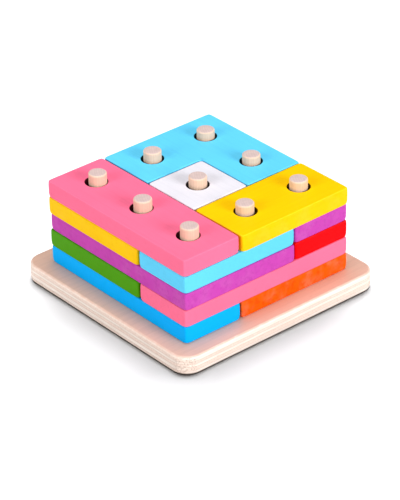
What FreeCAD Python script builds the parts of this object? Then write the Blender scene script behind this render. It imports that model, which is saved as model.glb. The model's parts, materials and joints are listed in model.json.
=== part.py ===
"""Peg-board shape stacker: a plywood board, nine dowel pegs and five layers of painted blocks.

Millimetres. +Z is up, the board's underside is at z = 0 and the board is centred on the origin.
The front of the board faces -Y. A cell is one square of the 3 by 3 grid that the pegs stand on, named by
its column (-1 left, 0 middle, 1 right) and its row (-1 front, 0 middle, 1 back).
"""

import FreeCAD, Part
import os
from collections import namedtuple
from math import hypot

# --- driving dimensions ---------------------------------------------------------------------------
PITCH = 38.0                 # from peg to peg, and so from cell to cell

BOARD_MARGIN = 11.5          # from the outer cells to the sides of the board
BOARD_THICKNESS = 10.8
BOARD_CORNER_RADIUS = 10.0   # seen from above
BOARD_EDGE_RADIUS = 1.6      # all round the upper and lower edges

PEG_DIAMETER = 10.0
PEG_SEAT_DEPTH = 7.0         # length glued into the board
PEG_STANDOUT = 4.5           # how far the shortest peg stands out of a full stack
PEG_TIP_RADIUS = 0.9
PEG_FOOT_CHAMFER = 0.5
PEG_GLUE_GAP = 0.05          # radial, between a peg and its hole in the board

BLOCK_THICKNESS = 10.0
BLOCK_GAP = 0.5              # between two neighbours of one layer, at their nominal places
BLOCK_CORNER_RADIUS = 1.2    # outward corners, seen from above
BLOCK_NOTCH_RADIUS = 0.6     # inward corners, seen from above
BLOCK_EDGE_RADIUS = 0.6      # along the upper and lower outlines
BLOCK_HOLE_CLEARANCE = 1.4   # radial, between a peg and a block's hole, at the block's nominal place
BLOCK_HOLE_CHAMFER = 0.3

# --- how long the pegs are ------------------------------------------------------------------------
# The dowels are cut by hand: how much longer each one is than the shortest, by cell.
PEG_EXTRA = {
    (-1, 1): 0.0, (0, 1): 0.0, (1, 1): 0.6,
    (-1, 0): 0.9, (0, 0): 0.8, (1, 0): 0.6,
    (-1, -1): 1.4, (0, -1): 1.6, (1, -1): 1.6,
}

# --- what the blocks are --------------------------------------------------------------------------
# A block lies a little off its nominal place, because its holes are wider than the pegs:
# shift is how far its middle lies off, in millimetres, and turn is its turn about the vertical, in degrees.
Block = namedtuple("Block", "name cells shift turn")

LAYERS = [  # from the board upwards
    [
        Block("blue_tee_layer1", [(-1, -1), (0, -1), (1, -1), (0, 0)], (-0.05, -0.55), -0.10),
        Block("orange_u_layer1", [(1, 0), (1, 1), (0, 1), (-1, 1), (-1, 0)], (0.15, -0.40), -0.10),
    ],
    [
        Block("green_square_layer2", [(-1, -1), (0, -1), (-1, 0), (0, 0)], (-0.45, -0.60), -0.10),
        Block("pink_bar_layer2", [(1, -1), (1, 0), (1, 1)], (0.15, -0.60), -0.30),
        Block("yellow_pair_layer2", [(-1, 1), (0, 1)], (-0.40, -0.35), 0.15),
    ],
    [
        Block("purple_ell_layer3", [(-1, -1), (0, -1), (1, -1), (1, 0)], (-0.05, -0.15), -0.15),
        Block("red_zed_layer3", [(1, 1), (0, 1), (0, 0), (-1, 0)], (-0.20, -0.15), -0.10),
        Block("white_single_layer3", [(-1, 1)], (-0.40, 0.05), 1.20),
    ],
    [
        Block("yellow_pair_layer4", [(-1, -1), (0, -1)], (-0.75, -0.50), 0.05),
        Block("cyan_corner_layer4", [(1, -1), (1, 0), (0, 0)], (-0.45, -0.20), 0.05),
        Block("purple_ell_layer4", [(1, 1), (0, 1), (-1, 1), (-1, 0)], (-0.70, -0.05), 0.00),
    ],
    [
        Block("pink_bar_layer5", [(-1, -1), (0, -1), (1, -1)], (-0.80, -0.35), 0.05),
        Block("cyan_corner_layer5", [(-1, 0), (-1, 1), (0, 1)], (-0.20, 0.00), -0.05),
        Block("white_single_layer5", [(0, 0)], (0.10, -0.25), 0.15),
        Block("yellow_pair_layer5", [(1, 0), (1, 1)], (0.15, 0.15), 0.55),
    ],
]

COLUMNS = {-1: "left", 0: "middle", 1: "right"}
ROWS = {-1: "front", 0: "middle", 1: "back"}

# --- worked out from them -------------------------------------------------------------------------
BOARD_SIDE = len(COLUMNS) * PITCH + 2 * BOARD_MARGIN
STACK_HEIGHT = BLOCK_THICKNESS * len(LAYERS)
PEG_RADIUS = PEG_DIAMETER / 2
PEG_FOOT_Z = BOARD_THICKNESS - PEG_SEAT_DEPTH
SHORTEST_PEG = PEG_SEAT_DEPTH + STACK_HEIGHT + PEG_STANDOUT
PEG_HOLE_RADIUS = PEG_RADIUS + PEG_GLUE_GAP
BLOCK_HOLE_RADIUS = PEG_RADIUS + BLOCK_HOLE_CLEARANCE
CELLS = [(column, row) for row in ROWS for column in COLUMNS]
UP = FreeCAD.Vector(0, 0, 1)
TOLERANCE = 1e-6
OUT = "parts"


def middle_of(cell):
    """The middle of a cell, on the ground."""
    column, row = cell
    return FreeCAD.Vector(column * PITCH, row * PITCH, 0)


def is_upright(edge):
    """True for a straight vertical edge."""
    start, end = edge.Vertexes[0].Point, edge.Vertexes[-1].Point
    return hypot(end.x - start.x, end.y - start.y) < TOLERANCE < abs(end.z - start.z)


def is_level_at(edge, heights):
    """True for an edge that lies flat at one of these heights."""
    box = edge.BoundBox
    return any(abs(box.ZMin - z) < TOLERANCE and abs(box.ZMax - z) < TOLERANCE for z in heights)


def round_outline(solid, heights, radius):
    """Rounds every edge that lies flat at these heights."""
    return solid.makeFillet(radius, [e for e in solid.Edges if is_level_at(e, heights)])


def bore(solid, centre, radius, bottom, top):
    """Drills a straight hole from one height to another."""
    drill = Part.makeCylinder(radius, top - bottom, FreeCAD.Vector(centre.x, centre.y, bottom), UP)
    return solid.cut(drill)


# --- board and pegs -------------------------------------------------------------------------------
def base_board():
    """The plywood board, with a blind hole for each peg."""
    half = BOARD_SIDE / 2
    board = Part.makeBox(BOARD_SIDE, BOARD_SIDE, BOARD_THICKNESS, FreeCAD.Vector(-half, -half, 0))
    board = board.makeFillet(BOARD_CORNER_RADIUS, [e for e in board.Edges if is_upright(e)])
    board = round_outline(board, (0, BOARD_THICKNESS), BOARD_EDGE_RADIUS)
    for cell in CELLS:
        board = bore(board, middle_of(cell), PEG_HOLE_RADIUS, PEG_FOOT_Z, BOARD_THICKNESS)
    return board


def peg(cell):
    """A dowel that stands on the floor of its hole, with a rounded tip and a chamfered foot."""
    length = SHORTEST_PEG + PEG_EXTRA[cell]
    dowel = Part.makeCylinder(PEG_RADIUS, length, middle_of(cell) + UP * PEG_FOOT_Z, UP)
    dowel = round_outline(dowel, [PEG_FOOT_Z + length], PEG_TIP_RADIUS)
    return dowel.makeChamfer(PEG_FOOT_CHAMFER, [e for e in dowel.Edges if is_level_at(e, [PEG_FOOT_Z])])


def peg_name(cell):
    column, row = cell
    return "peg_centre" if cell == (0, 0) else f"peg_{ROWS[row]}_{COLUMNS[column]}"


# --- blocks ---------------------------------------------------------------------------------------
def cell_square(cell):
    """The full square of one cell, as a face."""
    half = PITCH / 2
    return Part.makePlane(PITCH, PITCH, middle_of(cell) - FreeCAD.Vector(half, half, 0))


def cells_around(point, cells):
    """How many of the cells meet at this point."""
    reach = PITCH / 2 + BLOCK_GAP
    middles = [middle_of(cell) for cell in cells]
    return sum(abs(point.x - m.x) < reach and abs(point.y - m.y) < reach for m in middles)


def block_outline(cells):
    """The face that the cells cover together, drawn in by half the gap to the neighbours."""
    squares = [cell_square(cell) for cell in cells]
    joined = squares[0].multiFuse(squares[1:]) if len(squares) > 1 else squares[0]
    face = joined.removeSplitter().Faces[0]
    sharp_corners = 2
    return face.makeOffset2D(-BLOCK_GAP / 2, sharp_corners).Faces[0]


def round_corners(body, cells, meeting, radius):
    """Rounds the upright corners where this many cells meet: one where it turns outward, three inward."""
    corners = [e for e in body.Edges if is_upright(e) and cells_around(e.CenterOfMass, cells) == meeting]
    return body.makeFillet(radius, corners) if corners else body


def is_hole_rim(edge):
    return isinstance(edge.Curve, Part.Circle) and abs(edge.Curve.Radius - BLOCK_HOLE_RADIUS) < TOLERANCE


def block_body(cells):
    """A block at its nominal place, with its underside at z = 0."""
    body = block_outline(cells).extrude(UP * BLOCK_THICKNESS)
    body = round_corners(body, cells, 1, BLOCK_CORNER_RADIUS)
    body = round_corners(body, cells, 3, BLOCK_NOTCH_RADIUS)
    faces = (0, BLOCK_THICKNESS)
    body = round_outline(body, faces, BLOCK_EDGE_RADIUS)
    for cell in cells:
        body = bore(body, middle_of(cell), BLOCK_HOLE_RADIUS, 0, BLOCK_THICKNESS)
    rims = [e for e in body.Edges if is_level_at(e, faces) and is_hole_rim(e)]
    return body.makeChamfer(BLOCK_HOLE_CHAMFER, rims)


def block(spec, layer):
    """A block where it lies in its layer, counted from 0 at the board."""
    body = block_body(spec.cells)
    middle = sum((middle_of(cell) for cell in spec.cells), FreeCAD.Vector()) * (1 / len(spec.cells))
    body.rotate(middle, UP, spec.turn)
    body.translate(FreeCAD.Vector(*spec.shift, BOARD_THICKNESS + layer * BLOCK_THICKNESS))
    return body


# --- everything -----------------------------------------------------------------------------------
def pieces():
    """Every piece of the object by name, where it lies at rest."""
    made = {"base_board": base_board()}
    for cell in CELLS:
        made[peg_name(cell)] = peg(cell)
    for layer, blocks in enumerate(LAYERS):
        for spec in blocks:
            made[spec.name] = block(spec, layer)
    return made


def main():
    os.makedirs(OUT, exist_ok=True)
    for name, shape in pieces().items():
        solid = shape.Solids[0]
        print(f"{name:22s} {solid.Volume:9.1f} mm3  valid {solid.isValid()}  solids {len(shape.Solids)}")
        solid.exportStep(f"{OUT}/{name}.step")


main()
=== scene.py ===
"""Peg-board shape stacker: the finished look of its plywood board, dowel pegs and painted blocks.

Metres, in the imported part's own frame: +Z is up, the board stands on z = 0 and its front faces -Y. Each
block takes its cells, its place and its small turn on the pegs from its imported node, and each peg and the
board take their sizes from theirs.
"""

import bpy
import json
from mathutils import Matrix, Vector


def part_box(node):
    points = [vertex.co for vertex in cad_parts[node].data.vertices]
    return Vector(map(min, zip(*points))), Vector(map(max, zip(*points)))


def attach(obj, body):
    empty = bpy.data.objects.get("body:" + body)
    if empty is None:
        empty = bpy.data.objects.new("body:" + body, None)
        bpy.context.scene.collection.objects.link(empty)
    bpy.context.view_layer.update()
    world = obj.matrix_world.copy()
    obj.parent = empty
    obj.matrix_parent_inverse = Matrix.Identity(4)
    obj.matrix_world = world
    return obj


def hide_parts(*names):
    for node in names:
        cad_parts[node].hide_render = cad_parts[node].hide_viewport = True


bl_info = {
    "name": "Peg-board shape stacker",
    "version": (1, 0, 0),
    "blender": (4, 5, 0),
    "location": "View3D > Sidebar > Stacker",
    "description": "Builds the plywood board, the dowel pegs and the painted blocks around the packed part",
    "category": "Object",
}

import json
from math import atan2, copysign, pi, radians

import bmesh
import bpy
from bpy.props import FloatProperty, FloatVectorProperty, PointerProperty
from mathutils import Matrix, Vector

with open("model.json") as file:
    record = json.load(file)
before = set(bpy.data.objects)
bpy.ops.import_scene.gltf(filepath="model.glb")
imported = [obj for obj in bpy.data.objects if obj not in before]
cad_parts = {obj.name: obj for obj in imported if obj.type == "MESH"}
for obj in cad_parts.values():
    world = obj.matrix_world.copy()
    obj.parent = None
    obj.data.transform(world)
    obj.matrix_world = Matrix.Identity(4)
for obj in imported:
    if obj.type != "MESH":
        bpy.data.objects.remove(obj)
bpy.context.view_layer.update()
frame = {"nodes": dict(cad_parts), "record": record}

MM = 0.001
WELD = 1e-6              # vertices closer than this are one

BOARD = "base_board"
SLOTS = {part["node"]: part["material_slot"] for part in frame["record"]["subparts"]}
BODIES = {node: body for body, nodes in frame["record"]["behaviour"]["bodies"].items() for node in nodes}
PEGS = sorted(node for node, slot in SLOTS.items() if slot == "dowel_wood")
BLOCKS = sorted(node for node, slot in SLOTS.items() if slot.startswith("paint_"))


def middle_of(node):
    """The middle of a node's box."""
    low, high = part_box(node)
    return (low + high) / 2


def size_of(node):
    """The sides of a node's box."""
    low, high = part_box(node)
    return high - low


PITCH = round(middle_of("peg_middle_right").x - middle_of("peg_centre").x, 4)
PEG_AXES = {node: Vector([round(c / PITCH) * PITCH for c in middle_of(node).xy]) for node in PEGS}
PEG_RADIUS = round(size_of("peg_centre").x / 2, 4)
PEG_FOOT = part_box("peg_centre")[0].z


def linear(red, green, blue):
    """A scene-linear colour from screen values of 0 to 255."""
    return tuple(((c / 255 + 0.055) / 1.055) ** 2.4 for c in (red, green, blue))


# --- settings -------------------------------------------------------------------------------------
def length(name, description, millimetres):
    return FloatProperty(name=name, description=description, default=millimetres * MM, min=0, precision=5,
                         subtype="DISTANCE", unit="LENGTH")


def brightness(name, description, default):
    return FloatProperty(name=name, description=description, default=default, min=0)


def angle(name, description, degrees):
    return FloatProperty(name=name, description=description, default=radians(degrees), subtype="ANGLE",
                         unit="ROTATION")


def colour(name, description, *screen):
    return FloatVectorProperty(name=name, description=description, default=linear(*screen), min=0, max=1,
                               size=3, subtype="COLOR")


class StackerShapes(bpy.types.PropertyGroup):
    """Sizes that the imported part's boxes don't give."""
    block_gap: length("Block gap", "Between two neighbouring blocks of one layer", 0.5)
    hole_play: length("Hole play", "Between a peg and the wall of a block's hole, all round", 1.4)
    block_corner: length("Block corner radius", "Outward upright corners of the blocks", 1.2)
    block_notch: length("Block notch radius", "Inward upright corners of the blocks", 0.6)
    block_edge: length("Block edge radius", "Upper and lower outlines of the blocks", 0.6)
    hole_edge: length("Hole rim radius", "Rims of the holes in the blocks", 0.3)
    sanding_reach: length("Sanding reach", "How far in from a block's outward corner sanding goes", 3.6)
    sanding_above: length("Upper sanding", "How far a block's upper corners are sanded back", 0.4)
    sanding_below: length("Lower sanding", "How far a block's lower corners are sanded back", 1.0)
    peg_tip: length("Peg tip radius", "Rounded rim at the top of a peg", 0.9)
    peg_foot: length("Peg foot chamfer", "Rim at the foot of a peg, inside the board", 0.5)
    glue_gap: length("Glue gap", "Between a peg and its hole in the board, all round", 0.05)
    board_corner: length("Board corner radius", "Corners of the board seen from above", 10.0)
    board_edge: length("Board edge radius", "Upper and lower edges of the board", 1.6)


class StackerColours(bpy.types.PropertyGroup):
    """Paints and woods."""
    blue: colour("Blue", "Paint of the tee", 0, 176, 255)
    orange: colour("Orange", "Paint of the U", 253, 90, 0)
    green: colour("Green", "Paint of the square", 76, 153, 12)
    pink: colour("Pink", "Paint of the bars", 252, 114, 150)
    yellow: colour("Yellow", "Paint of the pairs", 253, 199, 0)
    purple: colour("Purple", "Paint of the ells", 195, 68, 173)
    red: colour("Red", "Paint of the zed", 250, 0, 12)
    white: colour("White", "Paint of the singles", 226, 223, 231)
    cyan: colour("Cyan", "Paint of the corners", 98, 207, 246)
    dowel: colour("Dowel", "Bare wood of the pegs", 230, 197, 172)
    dowel_end: colour("Dowel end grain", "Cut ends of the pegs", 211, 187, 182)
    veneer: colour("Face veneer", "Top and bottom of the board", 219, 179, 159)
    ply_long: colour("Long grain ply", "Plies that run along the edge they show in", 252, 239, 228)
    ply_end: colour("End grain ply", "Plies that are cut across where they show", 243, 220, 206)
    glue: colour("Glue line", "Between two plies", 190, 158, 138)


SENSOR_WIDTH = 36        # of the camera, in millimetres


class StackerStage(bpy.types.PropertyGroup):
    """Camera, lamps and floor."""
    azimuth: angle("Azimuth", "Camera's turn round the object from the front", 50.13)
    elevation: angle("Elevation", "Camera's height above the floor, as an angle", 30.96)
    roll: angle("Roll", "Camera's turn about its own line of sight", -1.17)
    distance: length("Distance", "From the camera to the point that it looks at", 1442.2)
    aim: FloatVectorProperty(name="Aim", description="Point that the camera looks at", size=3,
                             default=(0.4 * MM, 0.16 * MM, 19.85 * MM), subtype="TRANSLATION", unit="LENGTH")
    lens: FloatProperty(name="Lens", default=191.65,
                        description=f"Focal length in millimetres on a {SENSOR_WIDTH} mm sensor")
    key_strength: brightness("Key lamp", "Light on the right side", 2.95)
    fill_strength: brightness("Fill lamp", "Light on the front side", 1.88)
    top_strength: brightness("Top lamp", "Light from above and behind", 2.1)
    floor_strength: brightness("Floor lamp", "Light on the floor alone", 15.5)
    room_strength: brightness("Room light", "Even light from all round", 0.12)


# --- mesh work ------------------------------------------------------------------------------------
SPOKES = 48              # sides of a round hole; a multiple of 8, so that spokes meet the cells' corners
SUPPORT_LOOPS = (1.6 * MM, 3.0 * MM, 4.6 * MM)   # cuts along a block's sides, in from the outline
UPRIGHT = 0.01           # a face is upright if its normal rises by less than this,
LEVEL = 0.99             # and level if it rises by more than this
GRAIN_LAYER = "grain"    # place in the wood, with x along the grain
WEAR_LAYER = "wear"      # 1 on rounded edges, 0 elsewhere
BORE_LAYER = "bore"      # 1 on the walls of holes, 0 elsewhere; the paints lay painted shade there


def plate(centres, hole_radius):
    """A flat sheet of square cells with a round disc in the middle of each, and its discs."""
    bm = bmesh.new()
    half = PITCH / 2
    for centre in centres:
        place = Matrix.Translation(centre.to_3d())
        circle = bmesh.ops.create_circle(bm, cap_ends=True, radius=hole_radius, segments=SPOKES,
                                         matrix=place)
        rim = list(dict.fromkeys(edge for vert in circle["verts"] for edge in vert.link_edges))
        grown = bmesh.ops.extrude_edge_only(bm, edges=rim)
        for vert in (item for item in grown["geom"] if isinstance(item, bmesh.types.BMVert)):
            spoke = vert.co.xy - centre
            vert.co.xy = centre + spoke * (half / max(abs(spoke.x), abs(spoke.y)))
    bmesh.ops.remove_doubles(bm, verts=bm.verts, dist=WELD)
    discs = [face for face in bm.faces if len(face.verts) == SPOKES]
    return bm, discs


def thicken(bm, thickness):
    """Turns a flat sheet at z = 0 into a solid of this thickness, and gives its upper faces."""
    grown = bmesh.ops.extrude_face_region(bm, geom=bm.faces[:])
    verts = [item for item in grown["geom"] if isinstance(item, bmesh.types.BMVert)]
    bmesh.ops.translate(bm, verts=verts, vec=(0, 0, thickness))
    bmesh.ops.recalc_face_normals(bm, faces=bm.faces)
    return [item for item in grown["geom"] if isinstance(item, bmesh.types.BMFace)]


def upright_corners(bm, side):
    """Upright edges where the outline turns outward (side 1) or inward (side -1)."""
    sharp = pi / 3
    uprights = [edge for edge in bm.edges if abs(edge.verts[0].co.z - edge.verts[1].co.z) > WELD]
    return [edge for edge in uprights if edge.calc_face_angle_signed(0) * side > sharp]


def level_edges(bm, centres, at_holes):
    """Edges between a level face and an upright one, either round the holes or along the outline."""
    found = []
    for edge in bm.edges:
        slopes = sorted(abs(face.normal.z) for face in edge.link_faces)
        if len(slopes) == 2 and slopes[0] < UPRIGHT and slopes[1] > LEVEL:
            middle = (edge.verts[0].co.xy + edge.verts[1].co.xy) / 2
            at_hole = min((middle - centre).length for centre in centres) < PITCH / 4
            if at_hole == at_holes:
                found.append(edge)
    return found


def round_off(bm, edges, radius, segments):
    """Rounds edges, and marks as worn the points that only the new faces touch."""
    if not edges:
        return
    made = bmesh.ops.bevel(bm, geom=edges, offset=radius, offset_type="OFFSET", affect="EDGES",
                           segments=segments, profile=0.5, material=-1, clamp_overlap=False, loop_slide=True)
    wear = bm.verts.layers.float[WEAR_LAYER]
    rounded = set(made["faces"])
    for vert in made["verts"]:
        vert[wear] = float(rounded.issuperset(vert.link_faces))


def cut_across(bm, axis, places):
    """Cuts a mesh along planes square to an axis, so that it can bend there."""
    normal = Vector((0, 0, 0))
    normal[axis] = 1
    for place in places:
        bmesh.ops.bisect_plane(bm, geom=bm.verts[:] + bm.edges[:] + bm.faces[:], dist=WELD,
                               plane_co=normal * place, plane_no=normal)


def sand_corner(bm, corner, inward, reach, depth):
    """Draws the surface in near one corner, less and less as far as the reach."""
    for vert in bm.verts:
        away = sum(abs(vert.co[i] - corner[i]) for i in range(3))
        if away < reach:
            vert.co += inward.normalized() * depth * (1 - away / reach) ** 2


def mark_grain(bm, along, offset):
    """Records each point's place in the piece of wood, with x along the grain."""
    layer = bm.verts.layers.float_vector[GRAIN_LAYER]
    order = (along, (along + 1) % 3, (along + 2) % 3)
    for vert in bm.verts:
        vert[layer] = Vector([vert.co[i] for i in order]) + offset


def mark_bores(bm, centres, hole_radius):
    """Marks the walls of the holes."""
    layer = bm.verts.layers.float[BORE_LAYER]
    tolerance = 0.02 * MM
    for vert in bm.verts:
        apart = min((vert.co.xy - centre).length for centre in centres)
        vert[layer] = float(apart < hole_radius + tolerance)


def new_bmesh_layers(bm):
    bm.verts.layers.float.new(WEAR_LAYER)
    bm.verts.layers.float.new(BORE_LAYER)
    bm.verts.layers.float_vector.new(GRAIN_LAYER)


def finish_piece(bm, name, material, body, node):
    """Makes the object, shades it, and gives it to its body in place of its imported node."""
    mesh = bpy.data.meshes.new(name)
    bm.to_mesh(mesh)
    bm.free()
    mesh.shade_smooth()
    mesh.materials.append(material)
    piece = bpy.data.objects.new(name, mesh)
    bpy.context.scene.collection.objects.link(piece)
    shading = piece.modifiers.new("Even shading", "WEIGHTED_NORMAL")
    shading.weight = 80
    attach(piece, body)
    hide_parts(node)


# --- blocks ---------------------------------------------------------------------------------------
def cells_of(node):
    """Middles of the cells that a block covers: those of the pegs that its holes go round."""
    corners = [vert.co.xy for vert in frame["nodes"][node].data.vertices]
    return [axis for axis in PEG_AXES.values() if min((co - axis).length for co in corners) < PITCH / 4]


def turn_of(node):
    """A block's small turn about the vertical, read from its largest upright face."""
    upright = [face for face in frame["nodes"][node].data.polygons if abs(face.normal.z) < UPRIGHT]
    normal = max(upright, key=lambda face: face.area).normal
    quarter = pi / 2
    return (atan2(normal.y, normal.x) + quarter / 2) % quarter - quarter / 2


def block_mesh(node, shapes, number):
    """A block's mesh at its resting place."""
    centres = cells_of(node)
    thickness = size_of(node).z
    bm, discs = plate(centres, PEG_RADIUS + shapes.hole_play)
    new_bmesh_layers(bm)
    rim = bmesh.ops.inset_region(bm, faces=bm.faces[:], thickness=shapes.block_gap / 2, use_boundary=True,
                                 use_even_offset=True)
    bmesh.ops.delete(bm, geom=rim["faces"] + discs, context="FACES")
    thicken(bm, thickness)

    outward = upright_corners(bm, 1)
    corners = [edge.verts[0].co.xy for edge in outward]
    round_off(bm, outward, shapes.block_corner, 5)
    round_off(bm, upright_corners(bm, -1), shapes.block_notch, 3)
    round_off(bm, level_edges(bm, centres, at_holes=False), shapes.block_edge, 3)
    round_off(bm, level_edges(bm, centres, at_holes=True), shapes.hole_edge, 2)

    half = PITCH / 2 - shapes.block_gap / 2
    for axis in (0, 1):
        lines = {round(centre[axis], 6) for centre in centres}
        cut_across(bm, axis, [line + side * (half - loop) for line in lines for side in (-1, 1)
                              for loop in SUPPORT_LOOPS])
    cut_across(bm, 2, [thickness * part for part in (0.25, 0.5, 0.75)])
    mark_bores(bm, centres, PEG_RADIUS + shapes.hole_play)
    for corner in corners:
        cell = min(centres, key=lambda centre: (centre - corner).length)
        for level, rise, depth in ((0, 1, shapes.sanding_below), (thickness, -1, shapes.sanding_above)):
            inward = Vector(((cell.x - corner.x) / half, (cell.y - corner.y) / half, rise))
            sand_corner(bm, (*corner, level), inward, shapes.sanding_reach, depth)

    spans = [max(c[i] for c in centres) - min(c[i] for c in centres) for i in (0, 1)]
    mark_grain(bm, 0 if spans[0] >= spans[1] else 1, Vector((0.31, 0.17, 0.23)) * number)
    bmesh.ops.rotate(bm, verts=bm.verts, cent=(0, 0, 0), matrix=Matrix.Rotation(turn_of(node), 3, "Z"))
    low = Vector([min(vert.co[i] for vert in bm.verts) for i in range(3)])
    high = Vector([max(vert.co[i] for vert in bm.verts) for i in range(3)])
    bmesh.ops.translate(bm, verts=bm.verts, vec=middle_of(node) - (low + high) / 2)
    return bm


# --- pegs and board -------------------------------------------------------------------------------
def peg_mesh(node, shapes, number):
    """A dowel with a rounded tip and a chamfered foot."""
    sides = 64
    low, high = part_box(node)
    bm = bmesh.new()
    new_bmesh_layers(bm)
    bmesh.ops.create_cone(bm, cap_ends=True, segments=sides, radius1=PEG_RADIUS, radius2=PEG_RADIUS,
                          depth=high.z - low.z)
    for level, radius, segments in ((1, shapes.peg_tip, 5), (-1, shapes.peg_foot, 1)):
        rim = [edge for edge in bm.edges if all(vert.co.z * level > 0 for vert in edge.verts)]
        round_off(bm, rim, radius, segments)
    caps = [face for face in bm.faces if len(face.verts) == sides]
    bmesh.ops.inset_region(bm, faces=caps, thickness=PEG_RADIUS / 4, use_even_offset=True)
    mark_grain(bm, 2, Vector((0.11, 0.0, 0.0)) * number)
    bmesh.ops.translate(bm, verts=bm.verts, vec=middle_of(node))
    return bm


def outline_of(bm):
    """Points on the open edges of a flat sheet."""
    return {vert for edge in bm.edges if edge.is_boundary for vert in edge.verts}


def board_mesh(shapes):
    """The board, with a blind hole for each peg."""
    centres = list(PEG_AXES.values())
    low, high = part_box(BOARD)
    bm, discs = plate(centres, PEG_RADIUS + shapes.glue_gap)
    new_bmesh_layers(bm)
    grid_side = max(vert.co.x for vert in bm.verts)
    for vert in outline_of(bm):
        vert.co.xy *= high.x / grid_side
    bmesh.ops.subdivide_edges(bm, edges=[edge for edge in bm.edges if edge.is_boundary], cuts=3)
    straight = high.x - shapes.board_corner
    for vert in outline_of(bm):
        past = Vector((abs(vert.co.x) - straight, abs(vert.co.y) - straight))
        if min(past) > 0:
            past = past.normalized() * shapes.board_corner
            vert.co.x = copysign(straight + past.x, vert.co.x)
            vert.co.y = copysign(straight + past.y, vert.co.y)
    upper = thicken(bm, high.z - low.z)
    sinks = [face for face in upper if len(face.verts) == SPOKES]
    sunk = bmesh.ops.extrude_face_region(bm, geom=sinks)
    floors = [item for item in sunk["geom"] if isinstance(item, bmesh.types.BMVert)]
    bmesh.ops.translate(bm, verts=floors, vec=(0, 0, PEG_FOOT - high.z))
    bmesh.ops.delete(bm, geom=sinks, context="FACES")
    bmesh.ops.recalc_face_normals(bm, faces=bm.faces)
    round_off(bm, level_edges(bm, centres, at_holes=False), shapes.board_edge, 5)
    mark_grain(bm, 1, Vector((0.0, 0.0, 0.0)))
    return bm


# --- materials ------------------------------------------------------------------------------------
class Wiring:
    """A node tree with short ways to add nodes and links."""

    def __init__(self, tree):
        self.tree = tree

    def node(self, kind, inputs=None, **settings):
        """Adds a node. An input is a value, or a socket to link from."""
        node = self.tree.nodes.new(kind)
        for name, value in settings.items():
            setattr(node, name, value)
        for name, value in (inputs or {}).items():
            if isinstance(value, bpy.types.NodeSocket):
                self.tree.links.new(value, node.inputs[name])
            else:
                node.inputs[name].default_value = value
        return node

    def math(self, operation, *values, clamp=False):
        inputs = dict(enumerate(values))
        return self.node("ShaderNodeMath", inputs, operation=operation, use_clamp=clamp).outputs[0]

    def product(self, first, *others):
        for other in others:
            first = self.math("MULTIPLY", first, other)
        return first

    def noise(self, vector, scale, detail=3.0, roughness=0.5):
        inputs = {"Vector": vector, "Scale": scale, "Detail": detail, "Roughness": roughness}
        return self.node("ShaderNodeTexNoise", inputs).outputs["Fac"]

    def stretched(self, vector, scale):
        return self.node("ShaderNodeMapping", {"Vector": vector, "Scale": scale}).outputs[0]

    def ramp(self, value, low, high, start=0.0, end=1.0):
        """Maps low..high to start..end, and holds it there outside."""
        inputs = {"Value": value, "From Min": low, "From Max": high, "To Min": start, "To Max": end}
        return self.node("ShaderNodeMapRange", inputs, clamp=True, interpolation_type="SMOOTHSTEP").outputs[0]

    def mix(self, factor, first, second, blend="MIX"):
        node = self.node("ShaderNodeMix", data_type="RGBA", blend_type=blend, clamp_factor=True)
        for index, value in ((0, factor), (6, first), (7, second)):
            if isinstance(value, bpy.types.NodeSocket):
                self.tree.links.new(value, node.inputs[index])
            else:
                node.inputs[index].default_value = value if index == 0 else (*value[:3], 1)
        return node.outputs[2]

    def attribute(self, name, output):
        node = self.node("ShaderNodeAttribute", attribute_type="GEOMETRY", attribute_name=name)
        return node.outputs[output]

    def group(self, tree, inputs):
        return self.node("ShaderNodeGroup", inputs, node_tree=tree).outputs

    def facing(self):
        """The three parts of the direction that the surface faces in."""
        normal = self.node("ShaderNodeNewGeometry").outputs["Normal"]
        return self.node("ShaderNodeSeparateXYZ", {0: normal}).outputs


def new_group(name, inputs, outputs):
    """An empty node group with these sockets, its wiring, and its input and output nodes."""
    tree = bpy.data.node_groups.new(name, "ShaderNodeTree")
    for title, kind, default in inputs:
        socket = tree.interface.new_socket(name=title, in_out="INPUT", socket_type=kind)
        if default is not None:
            socket.default_value = default
    for title, kind in outputs:
        tree.interface.new_socket(name=title, in_out="OUTPUT", socket_type=kind)
    wires = Wiring(tree)
    return tree, wires, wires.node("NodeGroupInput").outputs, wires.node("NodeGroupOutput").inputs


def wood_grain_group():
    """Growth rings, long fibres and short pores of a piece of wood, from its grain coordinates."""
    tree, w, given, out = new_group(
        "Wood grain",
        [("Grain", "NodeSocketVector", None), ("Ring spacing", "NodeSocketFloat", 2.4 * MM)],
        [("Rings", "NodeSocketFloat"), ("Fibres", "NodeSocketFloat"), ("Pores", "NodeSocketFloat")])
    slow = {"Vector": w.stretched(given["Grain"], (6, 30, 30)), "Scale": 1.0, "Detail": 2.0}
    bend = w.node("ShaderNodeTexNoise", slow).outputs["Color"]
    depth = 4 * MM
    bent = w.node("ShaderNodeVectorMath", {0: bend, 1: (depth, depth, depth), 2: given["Grain"]},
                  operation="MULTIPLY_ADD").outputs[0]
    apart = w.node("ShaderNodeSeparateXYZ", {0: bent}).outputs
    pith_y, pith_z = 21 * MM, 34 * MM
    across = w.math("SUBTRACT", apart["Y"], pith_y)
    down = w.math("SUBTRACT", apart["Z"], pith_z)
    radius = w.math("SQRT", w.math("ADD", w.product(across, across), w.product(down, down)))
    year = w.math("FRACT", w.math("DIVIDE", radius, given["Ring spacing"]))
    w.tree.links.new(w.ramp(year, 0.55, 0.98), out["Rings"])
    fibres = w.noise(w.stretched(given["Grain"], (45, 900, 900)), 1.0, 4.0, 0.6)
    w.tree.links.new(w.ramp(fibres, 0.3, 0.7), out["Fibres"])
    pores = w.noise(w.stretched(given["Grain"], (380, 5200, 5200)), 1.0, 1.0)
    w.tree.links.new(w.ramp(pores, 0.66, 0.78), out["Pores"])
    return tree


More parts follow.
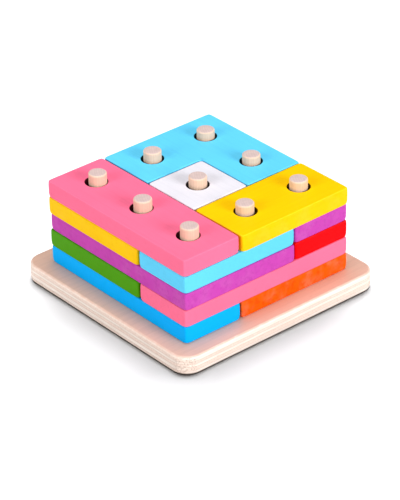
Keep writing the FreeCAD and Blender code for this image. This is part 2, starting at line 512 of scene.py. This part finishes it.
def edge_wear_group():
    """A broken mask along rounded edges."""
    tree, w, given, out = new_group(
        "Edge wear",
        [("Wear", "NodeSocketFloat", 0.0), ("Place", "NodeSocketVector", None),
         ("Amount", "NodeSocketFloat", 0.5)],
        [("Mask", "NodeSocketFloat")])
    rubbed = w.ramp(w.noise(given["Place"], 260.0, 4.0, 0.65), 0.42, 0.75)
    mask = w.product(w.ramp(given["Wear"], 0.35, 1.0), w.math("MULTIPLY_ADD", rubbed, 0.7, 0.3))
    w.tree.links.new(w.math("MULTIPLY", mask, given["Amount"], clamp=True), out["Mask"])
    return tree


def new_material(name):
    """A material with a plain Principled BSDF, its wiring and the shader node."""
    material = bpy.data.materials.new(name)
    material.use_nodes = True
    w = Wiring(material.node_tree)
    shader = material.node_tree.nodes["Principled BSDF"]
    return material, w, shader


def set_shader(w, shader, colour_socket, roughness, height, depth):
    """Feeds the shader, with a bump of this depth in metres."""
    w.tree.links.new(colour_socket, shader.inputs["Base Color"])
    w.tree.links.new(roughness, shader.inputs["Roughness"])
    bump = w.node("ShaderNodeBump", {"Height": height, "Distance": depth, "Strength": 1.0})
    w.tree.links.new(bump.outputs[0], shader.inputs["Normal"])


def worn_edges(w, wear_group, place, amount):
    """Where the rounded edges are rubbed, up to this amount."""
    worn = {"Wear": w.attribute(WEAR_LAYER, "Fac"), "Place": place, "Amount": amount}
    return w.group(wear_group, worn)["Mask"]


def darker(tone, share):
    """This share of a colour."""
    return [channel * share for channel in tone]


def paler(tone, share):
    """A colour taken this share of the way to white."""
    return [channel + (1 - channel) * share for channel in tone]


PAINTED_RINGS = 3.1 * MM     # spacing of the growth rings in each wood
DOWEL_RINGS = 1.3 * MM
PLY_RINGS = 4.5 * MM
PAINT_RELIEF = 0.014 * MM    # depth of the bump in paint and in bare wood
WOOD_RELIEF = 0.03 * MM

# How blotchy the thin coats lie on the sawn sides. The other paints lie evenly.
MOTTLING = {"orange": 0.8, "yellow": 0.2, "purple": 0.4}


def painted_wood(name, paint, mottling, grain_group, wear_group):
    """Satin paint over wood: the grain shows through faintly, the edges are rubbed paler, and the walls of
    the holes are darkened as painted shade.
    """
    material, w, shader = new_material(name)
    grain = w.attribute(GRAIN_LAYER, "Vector")
    place = w.node("ShaderNodeTexCoord").outputs["Object"]
    wood = w.group(grain_group, {"Grain": grain, "Ring spacing": PAINTED_RINGS})
    wear = worn_edges(w, wear_group, place, 0.15)
    sawn = w.ramp(w.math("ABSOLUTE", w.facing()["Z"]), 0.3, 0.8, 1.0, 0.0)
    clouds = w.ramp(w.noise(grain, 40.0, 2.0), 0.4, 0.7)
    blotches = w.ramp(w.noise(place, 430.0, 3.0, 0.6), 0.46, 0.68)
    peel = w.noise(place, 1500.0, 2.0)

    pale = paler(paint, 0.16)
    deep = darker(paint, 0.80)
    thin = darker(paint, 0.92 - 0.75 * mottling ** 2)
    shade = w.mix(w.product(clouds, 0.22), paint, deep)
    cloudy = w.product(w.ramp(w.noise(place, 130.0, 2.0), 0.40, 0.72), sawn)
    shade = w.mix(w.product(cloudy, 0.4 * mottling), shade, pale)
    shade = w.mix(w.product(blotches, sawn, 0.5), shade, thin)
    shown = w.math("MULTIPLY_ADD", sawn, -0.6, 1.0)
    shade = w.mix(w.product(wood["Fibres"], shown, 0.16), shade, deep)
    shade = w.mix(w.product(wood["Rings"], shown, 0.12), shade, deep)
    shade = w.mix(w.product(wood["Pores"], 0.30), shade, darker(paint, 0.6))
    shade = w.mix(wear, shade, pale)
    # Painted shade: the walls of the holes are drawn at 12 % of the paint's colour, standing in for the dark
    # inside of the holes.
    shade = w.mix(w.attribute(BORE_LAYER, "Fac"), shade, darker(paint, 0.12))

    rough = w.math("MULTIPLY_ADD", wood["Fibres"], 0.08, 0.40)
    rough = w.math("ADD", rough, w.product(wear, 0.15))
    height = w.math("MULTIPLY_ADD", wood["Fibres"], 0.45, w.product(peel, 0.55))
    height = w.math("SUBTRACT", height, w.product(wood["Pores"], 0.5))
    shader.inputs["Specular IOR Level"].default_value = 0.04
    set_shader(w, shader, shade, rough, height, PAINT_RELIEF)
    return material


def dowel_wood(colours, grain_group, wear_group):
    """Bare sanded hardwood, with darker cut ends."""
    material, w, shader = new_material("Dowel wood")
    grain = w.attribute(GRAIN_LAYER, "Vector")
    place = w.node("ShaderNodeTexCoord").outputs["Object"]
    wood = w.group(grain_group, {"Grain": grain, "Ring spacing": DOWEL_RINGS})
    wear = worn_edges(w, wear_group, place, 0.15)
    cut = w.ramp(w.math("ABSOLUTE", w.facing()["Z"]), 0.75, 0.98)

    bare, ends = colours.dowel, colours.dowel_end
    side = w.mix(w.product(wood["Fibres"], 0.45), bare, darker(bare, 0.82))
    side = w.mix(w.product(wood["Rings"], 0.35), side, darker(bare, 0.78))
    side = w.mix(w.product(wood["Pores"], 0.4), side, darker(bare, 0.65))
    end = w.mix(w.product(wood["Rings"], 0.45), ends, darker(ends, 0.78))
    spots = w.ramp(w.noise(place, 420.0, 3.0), 0.4, 0.65, 0.0, 0.5)
    end = w.mix(spots, end, darker(ends, 0.84))
    shade = w.mix(cut, side, end)
    shade = w.mix(wear, shade, paler(bare, 0.4))

    rough = w.math("MULTIPLY_ADD", wood["Fibres"], 0.12, 0.55)
    height = w.math("SUBTRACT", wood["Fibres"], w.product(wood["Pores"], 1.2))
    shader.inputs["Specular IOR Level"].default_value = 0.3
    set_shader(w, shader, shade, rough, height, WOOD_RELIEF)
    return material


PLY_JOINTS = (0.23, 0.43, 0.59, 0.73)    # heights of the glue lines, as shares of the board's thickness


def plywood(colours, grain_group, wear_group):
    """Five crossed plies: pale where they run along an edge, tan where they are cut across."""
    material, w, shader = new_material("Plywood")
    thickness = size_of(BOARD).z
    place = w.node("ShaderNodeTexCoord").outputs["Object"]
    apart = w.node("ShaderNodeSeparateXYZ", {0: place}).outputs
    waver = w.noise(w.stretched(place, (40, 40, 40)), 1.0, 2.0)
    level = w.math("DIVIDE", apart["Z"], thickness)
    height = w.math("ADD", level, w.math("MULTIPLY_ADD", waver, 0.05, -0.025))
    blend = 0.012
    steps = [w.ramp(height, joint - blend, joint + blend) for joint in PLY_JOINTS]
    crossed = w.math("SUBTRACT", steps[0], steps[1])
    crossed = w.math("ADD", crossed, w.math("SUBTRACT", steps[2], steps[3]))
    along_x = place
    along_y = w.attribute(GRAIN_LAYER, "Vector")
    grain_place = w.node("ShaderNodeMix", data_type="VECTOR")
    for index, value in ((0, crossed), (4, along_y), (5, along_x)):
        w.tree.links.new(value, grain_place.inputs[index])
    wood = w.group(grain_group, {"Grain": grain_place.outputs[1], "Ring spacing": PLY_RINGS})

    facing = w.facing()
    facing_x = w.math("ABSOLUTE", facing["X"])
    facing_y = w.math("ABSOLUTE", facing["Y"])
    facing_z = w.ramp(w.math("ABSOLUTE", facing["Z"]), 0.35, 0.85)
    end_grain = w.math("ADD", w.product(crossed, facing_x),
                       w.product(w.math("SUBTRACT", 1.0, crossed), facing_y), clamp=True)

    edge = w.mix(end_grain, colours.ply_long, colours.ply_end)
    edge = w.mix(w.product(wood["Fibres"], 0.32), edge, colours.glue)
    for joint in PLY_JOINTS:
        distance = w.math("ABSOLUTE", w.math("SUBTRACT", height, joint))
        line = w.ramp(distance, 0.004, 0.022, 0.5, 0.0)
        edge = w.mix(line, edge, colours.glue)
    face = w.mix(w.product(wood["Rings"], 0.30), colours.veneer, darker(colours.veneer, 0.82))
    face = w.mix(w.product(wood["Fibres"], 0.35), face, darker(colours.veneer, 0.86))
    turned = w.ramp(w.product(facing_x, facing_y), 0.06, 0.35)
    specks = w.ramp(w.noise(place, 900.0, 2.0, 0.6), 0.52, 0.62)
    edge = w.mix(w.product(specks, turned, 0.5), edge, darker(colours.glue, 0.72))
    shade = w.mix(facing_z, edge, face)
    shade = w.mix(w.product(wood["Pores"], 0.45), shade, darker(colours.veneer, 0.62))
    wear = worn_edges(w, wear_group, place, 0.35)
    shade = w.mix(wear, shade, paler(colours.ply_long, 0.35))

    rough = w.math("MULTIPLY_ADD", wood["Fibres"], 0.12, 0.34)
    rough = w.math("ADD", rough, w.product(end_grain, 0.15))
    relief = w.math("SUBTRACT", wood["Fibres"], w.product(wood["Pores"], 1.2))
    shader.inputs["Specular IOR Level"].default_value = 0.5
    set_shader(w, shader, shade, rough, relief, WOOD_RELIEF)
    return material


def floor_white():
    """A floor that comes out white under its own lamp, with the object's shadow on it."""
    material, w, shader = new_material("Studio floor")
    path = w.node("ShaderNodeLightPath").outputs
    seen = w.math("MAXIMUM", path["Is Camera Ray"], path["Is Glossy Ray"])
    w.tree.links.new(w.mix(seen, (0.20, 0.20, 0.20), (0.30, 0.30, 0.305)), shader.inputs["Base Color"])
    shader.inputs["Roughness"].default_value = 0.9
    shader.inputs["Specular IOR Level"].default_value = 0.0
    return material


# --- operators ------------------------------------------------------------------------------------
def shared_group(name, build):
    """The node group of this name, built on first use."""
    return bpy.data.node_groups.get(name) or build()


def wood_groups():
    return shared_group("Wood grain", wood_grain_group), shared_group("Edge wear", edge_wear_group)


class STACKER_OT_board(bpy.types.Operator):
    """Builds the plywood board with its blind peg holes"""
    bl_idname = "stacker.board"
    bl_label = "Plywood board"

    def execute(self, context):
        scene = context.scene
        material = plywood(scene.stacker_colours, *wood_groups())
        bm = board_mesh(scene.stacker_shapes)
        finish_piece(bm, "plywood_board", material, BODIES[BOARD], BOARD)
        return {"FINISHED"}


class STACKER_OT_pegs(bpy.types.Operator):
    """Builds the dowel pegs"""
    bl_idname = "stacker.pegs"
    bl_label = "Dowel pegs"

    def execute(self, context):
        scene = context.scene
        material = dowel_wood(scene.stacker_colours, *wood_groups())
        for number, node in enumerate(PEGS):
            bm = peg_mesh(node, scene.stacker_shapes, number)
            finish_piece(bm, node.replace("peg_", "dowel_"), material, BODIES[node], node)
        return {"FINISHED"}


class STACKER_OT_blocks(bpy.types.Operator):
    """Builds the painted blocks, layer by layer"""
    bl_idname = "stacker.blocks"
    bl_label = "Painted blocks"

    def execute(self, context):
        scene = context.scene
        materials = {}
        for number, node in enumerate(BLOCKS):
            slot = SLOTS[node]
            paint = slot.removeprefix("paint_")
            if slot not in materials:
                shade = list(getattr(scene.stacker_colours, paint))
                mottling = MOTTLING.get(paint, 0.0)
                name = f"{paint.title()} paint"
                materials[slot] = painted_wood(name, shade, mottling, *wood_groups())
            bm = block_mesh(node, scene.stacker_shapes, number)
            finish_piece(bm, f"painted_{node}", materials[slot], BODIES[node], node)
        return {"FINISHED"}


class STACKER_OT_stage(bpy.types.Operator):
    """Sets up the floor, the lamps and the camera"""
    bl_idname = "stacker.stage"
    bl_label = "Studio stage"

    def execute(self, context):
        scene = context.scene
        stage = scene.stacker_stage
        floor = build_floor(scene)
        build_lamps(scene, stage, floor)
        build_camera(scene, stage)
        scene.view_settings.view_transform = "Standard"
        return {"FINISHED"}


def build_floor(scene):
    """A wide flat sheet under the board."""
    half_side = 4.0
    bm = bmesh.new()
    bmesh.ops.create_grid(bm, x_segments=1, y_segments=1, size=half_side)
    mesh = bpy.data.meshes.new("Floor")
    bm.to_mesh(mesh)
    bm.free()
    mesh.materials.append(floor_white())
    floor = bpy.data.objects.new("Floor", mesh)
    scene.collection.objects.link(floor)
    return floor


def build_lamps(scene, stage, floor):
    """Three broad lamps that pass the floor by, a fourth that lights only the floor, and room light."""
    off_floor = bpy.data.collections.new("All but the floor")
    off_floor.objects.link(floor)
    off_floor.collection_objects[0].light_linking.link_state = "EXCLUDE"
    on_floor = bpy.data.collections.new("Floor alone")
    on_floor.objects.link(floor)
    # Each lamp's name, strength, direction as seen from the object, spread in degrees and what it reaches.
    lamps = (("Key lamp", stage.key_strength, Vector((1.0, 0.18, 0.33)), 26, off_floor),
             ("Fill lamp", stage.fill_strength, Vector((-0.03, -1.0, 0.40)), 35, off_floor),
             ("Top lamp", stage.top_strength, Vector((-0.10, 0.10, 1.0)), 30, off_floor),
             ("Floor lamp", stage.floor_strength, Vector((-0.33, 0.31, 1.0)), 48, on_floor))
    for name, strength, towards, spread, receivers in lamps:
        light = bpy.data.lights.new(name, "SUN")
        light.energy = strength
        light.angle = radians(spread)
        lamp = bpy.data.objects.new(name, light)
        lamp.rotation_euler = towards.to_track_quat("Z", "Y").to_euler()
        lamp.location = towards
        lamp.light_linking.receiver_collection = receivers
        scene.collection.objects.link(lamp)
    world = bpy.data.worlds.new("Studio")
    world.use_nodes = True
    background = world.node_tree.nodes["Background"]
    background.inputs["Color"].default_value = (1, 1, 1, 1)
    background.inputs["Strength"].default_value = stage.room_strength
    scene.world = world


def build_camera(scene, stage):
    """Looks at the aim point from this azimuth and elevation, and rolls about the line of sight."""
    data = bpy.data.cameras.new("Camera")
    data.lens = stage.lens
    data.sensor_width = SENSOR_WIDTH
    data.clip_end = 20
    camera = bpy.data.objects.new("Camera", data)
    turn = Matrix.Rotation(stage.azimuth, 4, "Z")
    tilt = Matrix.Rotation(pi / 2 - stage.elevation, 4, "X")
    lean = Matrix.Rotation(stage.roll, 4, "Z")
    step_back = Matrix.Translation((0, 0, stage.distance))
    camera.matrix_world = Matrix.Translation(stage.aim) @ turn @ tilt @ lean @ step_back
    scene.collection.objects.link(camera)
    scene.camera = camera


class STACKER_PT_panel(bpy.types.Panel):
    """Lists the steps in the order in which they run"""
    bl_idname = "STACKER_PT_panel"
    bl_label = "Peg-board shape stacker"
    bl_space_type = "VIEW_3D"
    bl_region_type = "UI"
    bl_category = "Stacker"

    def draw(self, context):
        for step in STEPS:
            self.layout.operator(step.bl_idname)
        scene = context.scene
        for group in (scene.stacker_shapes, scene.stacker_colours, scene.stacker_stage):
            box = self.layout.box()
            for name in group.__annotations__:
                box.prop(group, name)


STEPS = (STACKER_OT_board, STACKER_OT_pegs, STACKER_OT_blocks, STACKER_OT_stage)
CLASSES = (StackerShapes, StackerColours, StackerStage, *STEPS, STACKER_PT_panel)


def register():
    for cls in CLASSES:
        bpy.utils.register_class(cls)
    bpy.types.Scene.stacker_shapes = PointerProperty(type=StackerShapes)
    bpy.types.Scene.stacker_colours = PointerProperty(type=StackerColours)
    bpy.types.Scene.stacker_stage = PointerProperty(type=StackerStage)


def unregister():
    del bpy.types.Scene.stacker_stage
    del bpy.types.Scene.stacker_colours
    del bpy.types.Scene.stacker_shapes
    for cls in reversed(CLASSES):
        bpy.utils.unregister_class(cls)


def main():
    register()
    bpy.ops.stacker.board()
    bpy.ops.stacker.pegs()
    bpy.ops.stacker.blocks()
    bpy.ops.stacker.stage()


if __name__ == "__main__":
    main()
